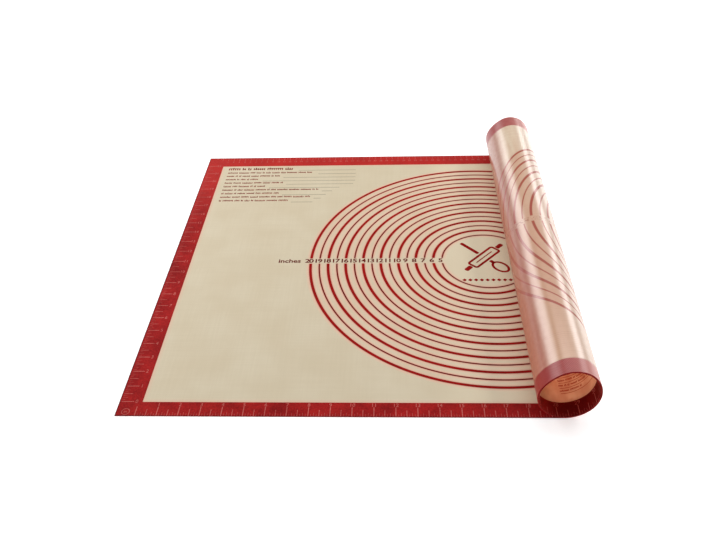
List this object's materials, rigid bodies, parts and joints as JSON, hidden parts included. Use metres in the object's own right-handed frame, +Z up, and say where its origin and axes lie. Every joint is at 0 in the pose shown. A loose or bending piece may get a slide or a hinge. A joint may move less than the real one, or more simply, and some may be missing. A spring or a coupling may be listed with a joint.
{
  "type": "silicone baking mat",
  "caption": "Thin rectangular baking and pastry mat of silicone on glass cloth with a printed border frame and measuring rings, one end rolled up.",
  "frame": {"origin": "middle of the footprint, on the surface that the mat lies on", "axes": "+Z up, +X along the mat's length from its flat end towards the roll, +Y across the mat along the roll's axis"},
  "size_m": [0.5566, 0.6096, 0.0737],
  "materials": {
    "silicone_coat": "satin translucent silicone, cream",
    "glass_cloth": "plain woven glass cloth",
    "border_ink": "printed silicone ink, deep red",
    "ring_ink": "printed silicone ink, dark red"
  },
  "bodies": {
    "root": {"border_frame": "border_ink", "glass_cloth": "glass_cloth", "ring_05_inch": "ring_ink", "ring_06_inch": "ring_ink", "ring_07_inch": "ring_ink", "ring_08_inch": "ring_ink", "ring_09_inch": "ring_ink", "ring_10_inch": "ring_ink", "ring_11_inch": "ring_ink", "ring_12_inch": "ring_ink", "ring_13_inch": "ring_ink", "ring_14_inch": "ring_ink", "ring_15_inch": "ring_ink", "ring_16_inch": "ring_ink", "ring_17_inch": "ring_ink", "ring_18_inch": "ring_ink", "ring_19_inch": "ring_ink", "ring_20_inch": "ring_ink", "under_coat": "silicone_coat", "upper_coat": "silicone_coat"}
  },
  "joints": []
}
